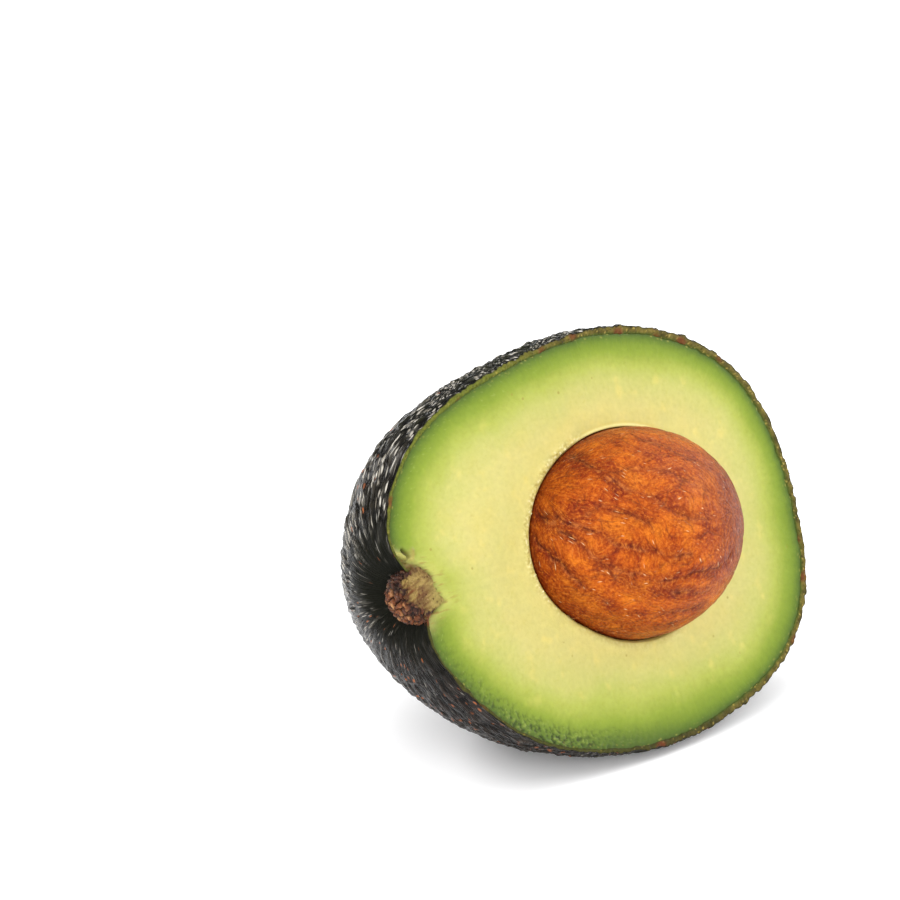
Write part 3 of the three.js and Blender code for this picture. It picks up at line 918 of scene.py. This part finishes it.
# ---------------------------------------------------------------------------------------------
# stem button
# ---------------------------------------------------------------------------------------------
def build_stub():
    na, nl = 210, 140
    prof = np.array(
        (
            (39.0, 0.0),
            (39.05, STUB_ROOT_R),
            (40.2, STUB_ROOT_R + 0.7),
            (42.4, STUB_R - 0.1),
            (44.6, STUB_R),
            (46.3, STUB_R * 0.92),
            (47.6, STUB_R * 0.66),
            (48.2, STUB_R * 0.3),
            (48.3, 0.0),
        )
    )
    seg = np.concatenate(([0], np.cumsum(np.linalg.norm(np.diff(prof, axis=0), axis=1))))
    u = np.linspace(0, seg[-1], nl + 1)
    px, pr = np.interp(u, seg, prof[:, 0]), np.interp(u, seg, prof[:, 1])
    for _ in range(10):  # round the corners of the profile
        px[1:-1] = (px[:-2] + 2 * px[1:-1] + px[2:]) / 4
        pr[1:-1] = (pr[:-2] + 2 * pr[1:-1] + pr[2:]) / 4
    t = np.linspace(0, 2 * math.pi, na, endpoint=False)
    x = np.repeat(px[1:-1], na)
    r = np.repeat(pr[1:-1], na)
    tt = np.tile(t, nl - 1)
    p = np.stack([x, r * np.cos(tt), r * np.sin(tt)], 1)
    ends = np.array(((px[0], 0, 0), (px[-1], 0, 0)), float)
    p = np.concatenate([p, ends])
    nrm = (p - np.array((43.6, 0, 0))) / np.array((4.5, 4.9, 4.9))
    nrm /= np.linalg.norm(nrm, axis=1)[:, None]
    # bark: lumps in rough rows round the tip, with deep cracks between
    w = p + 0.35 * np.stack([perlin(p / 1.2, 131), perlin(p / 1.2, 132), perlin(p / 1.2, 133)], 1)
    f1, f2, c = worley(w / np.array((0.85, 1.5, 1.5)), 111)
    crack = np.exp(-(((f2 - f1) / 0.15) ** 2))
    g1, g2, _ = worley(w / 0.55, 113)
    chip = smooth(0.05, 0.5, g2 - g1)
    bark = -0.50 * crack + 0.26 * (c[:, 0] - 0.5) + 0.16 * chip + 0.20 * fbm(p / 1.3, 3, 112) - 0.12
    v = p + nrm * bark[:, None]
    v = v + np.array((0, STUB_Y, STUB_Z))
    # the knife took the side that faces out of the cut and tore it; it runs out into the flesh
    tear = 0.30 * fbm(v / np.array((2.2, 0.7, 1.0)), 3, 114) + 0.15 * perlin(v / 0.55, 115)
    top = np.interp(v[:, 0], (40.0, 41.4, 43.4, 46.0, 48.0), (-0.75, -0.02, 0.55, 0.45, -0.2)) + tear
    over = v[:, 2] - top
    v[:, 2] = np.where(over > 0, top + 0.26 * over, v[:, 2])
    v[:, 2] = np.minimum(v[:, 2], STUB_PROUD + 0.15)
    view = np.stack([(v - STUB_MID) @ VIEW_R, (v - STUB_MID) @ VIEW_U], 1)
    sink = smooth(-0.05, 0.30, polygon_distance(view, SHOWN) + 0.22 * perlin(v / 0.8, 139)) * smooth(44.2, 43.0, v[:, 0])
    v[:, 2] = np.where(v[:, 2] > -0.9, lerp(v[:, 2], -0.9, sink), v[:, 2])
    ragged = 1.1 * perlin(v / 1.5, 134) + 0.45 * perlin(v / 0.5, 135)
    pale_d = polygon_distance(view, PALE) + ragged
    front = smooth(-1.5, -0.4, v[:, 2])
    pale = smooth(0.25, -0.25, pale_d) * front

    nxt = np.roll(np.arange(na), -1)
    k = np.arange(na)
    quads = [np.stack([i * na + k, (i + 1) * na + k, (i + 1) * na + nxt, i * na + nxt], 1) for i in range(nl - 2)]
    e0, e1 = (nl - 1) * na, (nl - 1) * na + 1
    last = (nl - 2) * na
    tris = np.concatenate(
        [np.stack([np.full(na, e0), k, nxt], 1), np.stack([np.full(na, e1), last + nxt, last + k], 1)]
    )
    vx, vy = view[:, 0], view[:, 1]
    m = np.clip(0.42 + 0.5 * (c[:, 2] - 0.5) + 0.6 * fbm(p / 1.1, 3, 116), 0, 1)
    col = mixc(srgb(66, 32, 16), srgb(176, 98, 44), m)
    # painted highlight: pale tops on the lightest bark
    col = mixc(col, srgb(238, 178, 116), smooth(0.55, 0.86, m) * 0.75)
    shade = smooth(-0.4, 2.2, vy) * smooth(1.6, -0.6, vx)
    col = mixc(col, srgb(60, 36, 32), shade * 0.75)
    mid = np.exp(-(((vx - 0.9) / 1.6) ** 2) - (((vy + 1.9) / 1.3) ** 2))
    col = mixc(col, srgb(76, 46, 38), mid * 0.75)
    # painted shade: the cracks of the bark near-black
    col = mixc(col, srgb(26, 12, 8), np.clip(crack * 1.2, 0, 1) * 0.88)
    strand = 0.5 + 0.5 * perlin(np.stack([(vx * 0.8 + vy * 0.6) / 2.0, (vy * 0.8 - vx * 0.6) / 0.40, 0 * vx], 1), 118)
    wood = mixc(srgb(124, 88, 44), srgb(186, 160, 92), smooth(0.15, 0.75, strand))
    wood = mixc(wood, srgb(190, 176, 98), smooth(2.6, 5.2, vx) * 0.70)
    smudge = smooth(-0.05, 0.35, fbm(np.stack([vx / 1.8, vy / 1.8, 0 * vx + 3.3], 1), 2, 138))
    wood = mixc(wood, srgb(112, 76, 44), smudge * smooth(4.6, 2.2, vx) * 0.75)
    amber = np.exp(-(((vx - 0.6) / 1.3) ** 2) - (((vy - 0.7) / 0.9) ** 2))
    wood = mixc(wood, srgb(146, 88, 46), amber * smooth(0.75, 0.3, strand) * 0.9)
    wood = mixc(wood, srgb(104, 62, 32), smooth(0.15, 0.6, fbm(v / 0.9, 3, 136)) * smooth(5.0, 2.0, vx) * 0.65)
    flecks, _, fc = worley(v / 0.7, 137)
    wood = mixc(wood, srgb(84, 40, 18), smooth(0.34, 0.18, flecks) * (fc[:, 1] > 0.80) * 0.85)
    col = mixc(0.67 * col, 0.65 * wood, pale)
    edge = np.exp(-((pale_d / 0.30) ** 2)) * smooth(1.0, -1.0, vx + 0.8 * vy - 1.0) * front
    col = mixc(col, srgb(52, 28, 16), edge * 0.5)
    return make_mesh("stem_button", v, [np.concatenate(quads), tris], {"tint": col}, None, {"cut": pale})


# ---------------------------------------------------------------------------------------------
# materials
# ---------------------------------------------------------------------------------------------
class Nodes:
    def __init__(self, name):
        self.mat = bpy.data.materials.new(name)
        self.mat.use_nodes = True
        self.t = self.mat.node_tree
        self.t.nodes.clear()
        self.out = self.t.nodes.new("ShaderNodeOutputMaterial")
        self.bsdf = self.t.nodes.new("ShaderNodeBsdfPrincipled")
        self.link(self.bsdf.outputs[0], self.out.inputs[0])

    def link(self, a, b):
        self.t.links.new(a, b)

    def add(self, kind, **values):
        n = self.t.nodes.new(kind)
        for k, v in values.items():
            setattr(n, k, v)
        return n

    def attr(self, name, what="Color"):
        n = self.add("ShaderNodeAttribute", attribute_name=name)
        return n.outputs[what]

    def noise(self, vector, scale, detail=3.0, rough=0.5, what="Fac"):
        n = self.add("ShaderNodeTexNoise")
        n.inputs["Scale"].default_value = scale
        n.inputs["Detail"].default_value = detail
        n.inputs["Roughness"].default_value = rough
        if vector is not None:
            self.link(vector, n.inputs["Vector"])
        return n.outputs[what]

    def voronoi(self, vector, scale, feature="F1", randomness=1.0):
        n = self.add("ShaderNodeTexVoronoi", feature=feature)
        n.inputs["Scale"].default_value = scale
        n.inputs["Randomness"].default_value = randomness
        self.link(vector, n.inputs["Vector"])
        return n

    def ramp(self, fac, stops):
        n = self.add("ShaderNodeValToRGB")
        e = n.color_ramp.elements
        while len(e) < len(stops):
            e.new(0.5)
        for el, (pos, c) in zip(e, stops):
            el.position = pos
            el.color = (c, c, c, 1) if np.isscalar(c) else (*c, 1)
        self.link(fac, n.inputs["Fac"])
        return n.outputs["Color"]

    def range(self, value, a, b, c, d):
        n = self.add("ShaderNodeMapRange")
        for k, x in zip(("From Min", "From Max", "To Min", "To Max"), (a, b, c, d)):
            n.inputs[k].default_value = x
        self.link(value, n.inputs["Value"])
        return n.outputs["Result"]

    def math(self, op, a, b):
        n = self.add("ShaderNodeMath", operation=op)
        for i, x in enumerate((a, b)):
            if isinstance(x, (int, float)):
                n.inputs[i].default_value = x
            else:
                self.link(x, n.inputs[i])
        return n.outputs[0]

    def mix(self, fac, a, b, blend="MIX"):
        n = self.add("ShaderNodeMix", data_type="RGBA", blend_type=blend)
        for sock, x in ((n.inputs[0], fac), (n.inputs[6], a), (n.inputs[7], b)):
            if isinstance(x, (int, float)):
                sock.default_value = x
            elif isinstance(x, (tuple, list, np.ndarray)):
                sock.default_value = (*[float(y) for y in x[:3]], 1)
            else:
                self.link(x, sock)
        return n.outputs[2]

    def bump(self, height, strength, distance, normal=None):
        n = self.add("ShaderNodeBump")
        n.inputs["Strength"].default_value = strength
        n.inputs["Distance"].default_value = distance
        self.link(height, n.inputs["Height"])
        if normal is not None:
            self.link(normal, n.inputs["Normal"])
        return n.outputs["Normal"]

    def set(self, **values):
        for k, v in values.items():
            self.bsdf.inputs[k.replace("_", " ")].default_value = v


def peel_material():
    m = Nodes("peel_skin")
    obj = m.add("ShaderNodeTexCoord").outputs["Object"]
    fib = m.attr("fib", "Vector")
    cut = m.attr("cut", "Fac")
    rust = m.attr("rust", "Fac")
    near = m.attr("near", "Fac")
    tint = m.attr("tint")
    # finer scales and threads in the grain of the skin, over the relief of the mesh
    dome = m.range(m.voronoi(fib, 1.0, "DISTANCE_TO_EDGE").outputs["Distance"], 0.02, 0.36, 0.0, 1.0)
    peb = m.voronoi(obj, 640.0)
    # short painted glints along the crests: a painted highlight in the base colour, with a little relief
    painted_glint = m.attr("painted_glint", "Fac")
    cell = m.voronoi(m.attr("dash", "Vector"), 1.0, randomness=0.95)
    pick = m.add("ShaderNodeSeparateColor")
    m.link(cell.outputs["Color"], pick.inputs[0])
    taken = m.range(m.math("ADD", pick.outputs[0], painted_glint), 1.0, 1.12, 0.0, 1.0)
    dash = m.math("MULTIPLY", m.range(cell.outputs["Distance"], 0.20, 0.42, 1.0, 0.0), taken)
    pdome = m.range(peb.outputs["Distance"], 0.08, 0.70, 1.0, 0.0)
    away = m.math("SUBTRACT", 1.0, near)
    height = m.math("ADD", m.math("MULTIPLY", dome, 0.8), m.math("MULTIPLY", m.math("MULTIPLY", pdome, away), 0.2))
    height = m.math("ADD", height, m.math("MULTIPLY", dash, 0.35))
    # painted shade: darker in the low parts of the fine relief
    col = m.mix(m.range(height, 0.1, 0.8, 0.55, 0.0), tint, m.mix(1.0, tint, (0.35, 0.34, 0.30), "MULTIPLY"))
    # painted highlight: the glint dashes turn pale
    bright = m.math("MULTIPLY", dash, m.range(painted_glint, 0.05, 0.75, 0.20, 0.95))
    col = m.mix(bright, col, m.mix(pick.outputs[1], srgb(216, 210, 198), srgb(132, 124, 110)))
    # rust and cork specks on the crests, in rows along the grain
    spot = m.voronoi(m.attr("fleck", "Vector"), 1.0, randomness=0.95)
    rnd = m.add("ShaderNodeSeparateColor")
    m.link(spot.outputs["Color"], rnd.inputs[0])
    chosen = m.range(m.math("ADD", rnd.outputs[0], m.math("MULTIPLY", rust, 0.30)), 0.975, 0.985, 0.0, 1.0)
    speck = m.math("MULTIPLY", m.range(spot.outputs["Distance"], 0.20, 0.31, 1.0, 0.0), chosen)
    col = m.mix(m.math("MULTIPLY", speck, 0.9), col, m.mix(rnd.outputs[1], srgb(164, 96, 58), srgb(110, 64, 42)))
    fine = m.noise(obj, 2200.0, 3.0, 0.6)
    col = m.mix(m.range(fine, 0.62, 0.78, 0.0, 0.12), col, srgb(98, 94, 86))
    rimcol = m.mix(m.range(fine, 0.35, 0.65, 0.0, 0.55), tint, m.mix(1.0, tint, (0.42, 0.40, 0.34), "MULTIPLY"))
    m.link(m.mix(cut, col, rimcol), m.bsdf.inputs["Base Color"])
    rough = m.range(m.noise(obj, 500.0, 3.0, 0.6), 0.3, 0.7, 0.20, 0.32)
    rough = m.math("MAXIMUM", rough, m.math("MULTIPLY", m.attr("hollow", "Fac"), 0.75))
    m.link(m.math("MAXIMUM", rough, m.math("MULTIPLY", cut, 0.5)), m.bsdf.inputs["Roughness"])
    b = m.bump(m.math("MULTIPLY", height, m.math("SUBTRACT", 1.0, cut)), 0.8, 0.00035)
    b = m.bump(fine, 0.15, 0.00008, b)
    m.link(b, m.bsdf.inputs["Normal"])
    m.set(Specular_IOR_Level=0.09, IOR=1.45)
    return m.mat


def flesh_material():
    m = Nodes("avocado_flesh")
    obj = m.add("ShaderNodeTexCoord").outputs["Object"]
    ray = m.attr("ray", "Vector")
    green = m.attr("green", "Fac")
    tint = m.attr("tint")
    fibre = m.noise(ray, 1.0, 3.0, 0.55)
    cloud = m.noise(obj, 260.0, 4.0, 0.6)
    fine = m.noise(obj, 1500.0, 3.0, 0.6)
    col = m.mix(m.range(cloud, 0.35, 0.65, 0.0, 0.30), tint, m.mix(1.0, tint, (0.93, 0.94, 0.78), "MULTIPLY"))
    col = m.mix(m.math("MULTIPLY", m.range(fibre, 0.4, 0.7, 0.0, 0.30), green), col, m.mix(1.0, col, (0.78, 0.86, 0.70), "MULTIPLY"))
    col = m.mix(m.range(fine, 0.50, 0.75, 0.0, 0.42), col, m.mix(1.0, col, (0.86, 0.86, 0.66), "MULTIPLY"))
    dots = m.voronoi(obj, 330.0)
    keep = m.range(m.noise(obj, 190.0, 1.0), 0.60, 0.64, 0.0, 1.0)
    dot = m.math("MULTIPLY", m.range(dots.outputs["Distance"], 0.05, 0.11, 1.0, 0.0), keep)
    col = m.mix(m.math("MULTIPLY", dot, 0.55), col, srgb(136, 120, 52))
    m.link(col, m.bsdf.inputs["Base Color"])
    m.link(m.range(m.noise(obj, 420.0, 3.0, 0.6), 0.3, 0.7, 0.36, 0.54), m.bsdf.inputs["Roughness"])
    b = m.bump(cloud, 0.22, 0.0004)
    b = m.bump(fine, 0.35, 0.00014, b)
    b = m.bump(m.math("MULTIPLY", fibre, green), 0.30, 0.00018, b)
    m.link(b, m.bsdf.inputs["Normal"])
    m.set(Subsurface_Weight=0.15, Subsurface_Radius=(1.0, 0.75, 0.25), Subsurface_Scale=0.0016, IOR=1.42, Specular_IOR_Level=0.28)
    return m.mat


def seed_material():
    m = Nodes("seed_coat")
    obj = m.add("ShaderNodeTexCoord").outputs["Object"]
    grain = m.attr("grain", "Vector")
    tint = m.attr("tint")
    strand = m.attr("strand", "Vector")
    g = m.noise(grain, 1.6, 4.0, 0.66)
    mott = m.noise(obj, 2000.0, 3.0, 0.7)
    fine = m.noise(obj, 3600.0, 3.0, 0.6)
    col = m.mix(m.range(g, 0.46, 0.64, 0.0, 0.62), tint, m.mix(1.0, tint, (0.62, 0.44, 0.34), "MULTIPLY"))
    col = m.mix(m.range(mott, 0.50, 0.62, 0.0, 0.66), col, m.mix(1.0, col, (0.56, 0.40, 0.32), "MULTIPLY"))
    col = m.mix(m.range(mott, 0.32, 0.46, 0.42, 0.0), col, 0.86 * srgb(232, 134, 44))
    # fibres that run along the coat
    fibre = m.noise(strand, 2.3, 3.0, 0.66)
    col = m.mix(m.range(fibre, 0.51, 0.62, 0.0, 0.46), col, m.mix(1.0, col, (0.58, 0.42, 0.34), "MULTIPLY"))
    col = m.mix(m.range(fibre, 0.32, 0.43, 0.26, 0.0), col, 0.84 * srgb(240, 150, 62))
    # hair-thin dark lines, and pale flakes lying in the grain
    net = m.voronoi(grain, 0.30, "DISTANCE_TO_EDGE")
    hair = m.math("MULTIPLY", m.range(net.outputs["Distance"], 0.0, 0.05, 1.0, 0.0), m.range(m.noise(obj, 330.0, 2.0), 0.46, 0.58, 0.0, 1.0))
    col = m.mix(m.math("MULTIPLY", hair, 0.45), col, srgb(70, 26, 16))
    flakes = m.voronoi(strand, 1.0)
    thin = m.math("MULTIPLY", m.range(flakes.outputs["Distance"], 0.06, 0.17, 1.0, 0.0), m.range(m.noise(obj, 260.0, 2.0), 0.47, 0.55, 0.0, 1.0))
    col = m.mix(m.math("MULTIPLY", thin, 0.8), col, srgb(236, 192, 142))
    m.link(col, m.bsdf.inputs["Base Color"])
    m.link(m.range(m.noise(obj, 700.0, 3.0, 0.6), 0.3, 0.7, 0.28, 0.46), m.bsdf.inputs["Roughness"])
    b = m.bump(g, 0.5, 0.00030)
    b = m.bump(fibre, 0.5, 0.00022, b)
    b = m.bump(mott, 0.5, 0.00024, b)
    b = m.bump(m.math("SUBTRACT", m.math("ADD", thin, fine), hair), 0.5, 0.00014, b)
    m.link(b, m.bsdf.inputs["Normal"])
    m.set(Specular_IOR_Level=0.11, IOR=1.42)
    return m.mat


def stub_material():
    m = Nodes("stem_button")
    obj = m.add("ShaderNodeTexCoord").outputs["Object"]
    tint = m.attr("tint")
    cut = m.attr("cut", "Fac")
    n = m.noise(obj, 700.0, 5.0, 0.65)
    fine = m.noise(obj, 3000.0, 3.0, 0.6)
    col = m.mix(m.range(n, 0.35, 0.7, 0.0, 0.7), tint, m.mix(1.0, tint, (0.55, 0.46, 0.38), "MULTIPLY"))
    col = m.mix(m.range(fine, 0.6, 0.8, 0.0, 0.35), col, srgb(226, 186, 136))
    m.link(col, m.bsdf.inputs["Base Color"])
    m.link(m.range(cut, 0.0, 1.0, 0.34, 0.60), m.bsdf.inputs["Roughness"])
    b = m.bump(n, 0.7, 0.0005)
    b = m.bump(fine, 0.4, 0.00012, b)
    m.link(b, m.bsdf.inputs["Normal"])
    m.set(Specular_IOR_Level=0.18)
    return m.mat


def floor_material():
    m = Nodes("pale_floor")
    m.set(Base_Color=(0.98, 0.98, 0.985, 1), Roughness=0.9, Specular_IOR_Level=0.1)
    m.set(Emission_Color=(1.0, 1.0, 1.0, 1), Emission_Strength=0.09)  # the floor glows faintly, a painted light, so shadows stay pale
    return m.mat


# ---------------------------------------------------------------------------------------------
# camera, light and floor
# ---------------------------------------------------------------------------------------------
CAM_AT = Vector(to_row(VIEW_AT))
CAM_R = Vector(TURN @ VIEW_R)
CAM_B = Vector(TURN @ VIEW_B).normalized()
CAM_R = (CAM_R - CAM_B * CAM_R.dot(CAM_B)).normalized()
CAM_U = CAM_B.cross(CAM_R)
cam_data = bpy.data.cameras.new("camera")
cam_data.sensor_width = 36.0
cam_data.lens = 155.22
cam_data.clip_start, cam_data.clip_end = 0.05, 20.0
cam = bpy.data.objects.new("camera", cam_data)
bpy.context.scene.collection.objects.link(cam)
cam.matrix_world = Matrix(
    (
        (CAM_R.x, CAM_U.x, CAM_B.x, CAM_AT.x),
        (CAM_R.y, CAM_U.y, CAM_B.y, CAM_AT.y),
        (CAM_R.z, CAM_U.z, CAM_B.z, CAM_AT.z),
        (0, 0, 0, 1),
    )
)
bpy.context.scene.camera = cam

AIM = Vector((-0.004, 0.002, 0.034))
BACK_H = Vector((CAM_B.x, CAM_B.y, 0)).normalized()  # towards the viewer, level
RIGHT_H = Vector((CAM_R.x, CAM_R.y, 0)).normalized()


def area_light(name, right, back, up, size, power, colour=(1, 1, 1), size_y=None):
    """A soft box at this place round the object, in metres, turned to it."""
    data = bpy.data.lights.new(name, "AREA")
    data.shape = "RECTANGLE"
    data.size, data.size_y = size, size_y or size
    data.energy = power
    data.color = colour
    ob = bpy.data.objects.new(name, data)
    bpy.context.scene.collection.objects.link(ob)
    ob.location = AIM + RIGHT_H * right + BACK_H * back + Vector((0, 0, up))
    ob.rotation_mode = "QUATERNION"
    ob.rotation_quaternion = (AIM - ob.location).to_track_quat("-Z", "Y")
    return ob


area_light("top_soft", 0.15, 0.25, 1.30, 1.6, 9.5)
area_light("key_left", -0.90, 0.80, 0.80, 1.25, 12.3)
area_light("front_soft", 0.40, 1.10, 0.50, 0.7, 4.3)
area_light("back_left", -0.80, -0.60, 0.60, 0.22, 6.0, size_y=0.45)
area_light("back_right", 0.90, -0.45, 0.50, 0.3, 4.0, size_y=0.5)

world = bpy.data.worlds.new("studio")
bpy.context.scene.world = world
world.use_nodes = True
wt = world.node_tree
sky = wt.nodes["Background"]
sky.inputs[0].default_value = (1, 1, 1, 1)
where = wt.nodes.new("ShaderNodeTexCoord")
dot = wt.nodes.new("ShaderNodeVectorMath")
dot.operation = "DOT_PRODUCT"
dot.inputs[1].default_value = (RIGHT_H * -0.86 - BACK_H * 0.50 + Vector((0, 0, 0.10))).normalized()
flag = wt.nodes.new("ShaderNodeMapRange")  # darker behind on the left, as with a black flag there
for key, value in (("From Min", 0.25), ("From Max", 0.80), ("To Min", 0.92), ("To Max", 0.12)):
    flag.inputs[key].default_value = value
wt.links.new(where.outputs["Generated"], dot.inputs[0])
wt.links.new(dot.outputs["Value"], flag.inputs["Value"])
wt.links.new(flag.outputs["Result"], sky.inputs[1])
bpy.context.scene.view_settings.view_transform = "Standard"
bpy.context.scene.view_settings.look = "None"

floor_mesh = bpy.data.meshes.new("floor")
floor_mesh.from_pydata([(-3, -3, 0), (3, -3, 0), (3, 3, 0), (-3, 3, 0)], [], [(0, 1, 2, 3)])
floor = bpy.data.objects.new("floor", floor_mesh)
bpy.context.scene.collection.objects.link(floor)
floor.data.materials.append(floor_material())
floor.location = (0, 0, -0.00005)

# ---------------------------------------------------------------------------------------------
# the pieces
# ---------------------------------------------------------------------------------------------
for build, material, node, slot in (
    (build_peel, peel_material, "peel", "peel"),
    (build_flesh, flesh_material, "flesh", "flesh"),
    (build_seed, seed_material, "seed", "seed"),
    (build_stub, stub_material, "stem_stub", "stem"),
):
    piece = build()
    piece.data.materials.append(material())
    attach(piece, "root")
    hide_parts(node)
